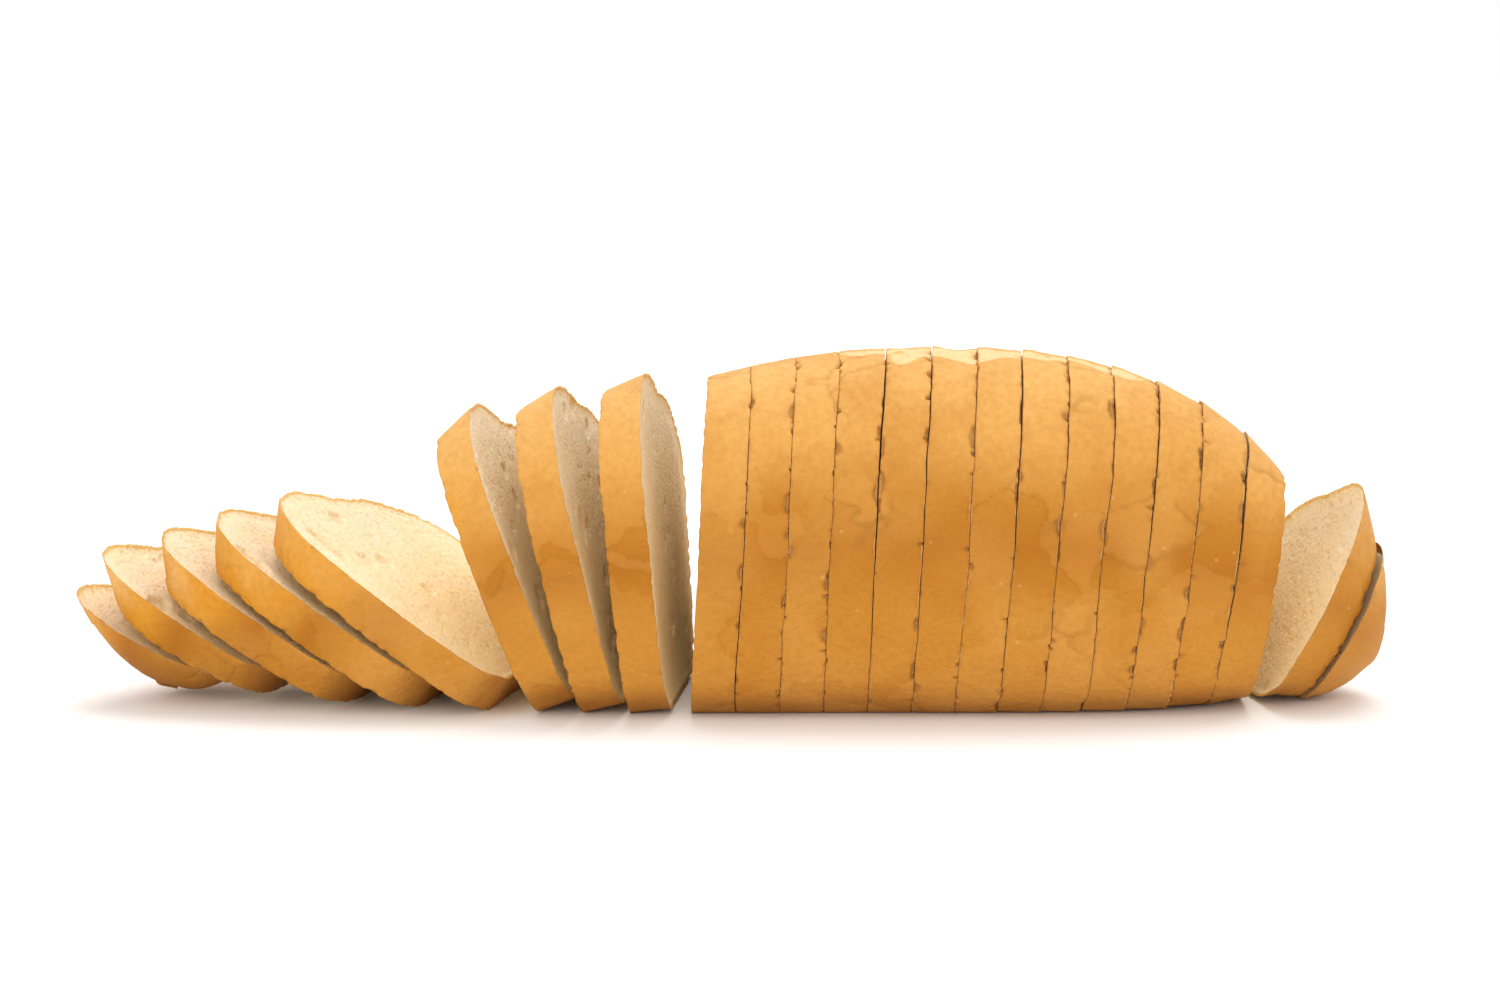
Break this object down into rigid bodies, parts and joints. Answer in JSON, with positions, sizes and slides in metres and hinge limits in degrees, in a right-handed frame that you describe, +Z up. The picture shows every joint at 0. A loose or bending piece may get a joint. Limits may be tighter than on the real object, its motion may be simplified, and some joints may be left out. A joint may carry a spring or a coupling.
{
  "type": "tin loaf",
  "caption": "Golden white tin loaf sliced from end to end, its middle slices standing together and its outer slices fanned over against them.",
  "frame": {"origin": "on the surface that the loaf stands on, under the middle of the whole row of slices", "axes": "+X along the loaf from its fanned end to its tipped heel, +Y to its lower far side, +Z up"},
  "size_m": [0.3616, 0.1118, 0.1008],
  "materials": {
    "sliced_bread": "matt golden crust around pale open crumb",
    "heel_crust": "matt golden brown crust"
  },
  "bodies": {
    "root": {"heel_left": "heel_crust", "slice_01": "sliced_bread", "slice_02": "sliced_bread", "slice_03": "sliced_bread", "slice_04": "sliced_bread", "slice_05": "sliced_bread", "slice_06": "sliced_bread", "slice_07": "sliced_bread", "slice_08": "sliced_bread", "slice_09": "sliced_bread", "slice_10": "sliced_bread", "slice_11": "sliced_bread", "slice_12": "sliced_bread", "slice_13": "sliced_bread", "slice_14": "sliced_bread", "slice_15": "sliced_bread", "slice_16": "sliced_bread", "slice_17": "sliced_bread", "slice_18": "sliced_bread", "slice_19": "sliced_bread", "slice_20": "sliced_bread", "slice_21": "sliced_bread", "heel_right": "heel_crust"}
  },
  "joints": []
}
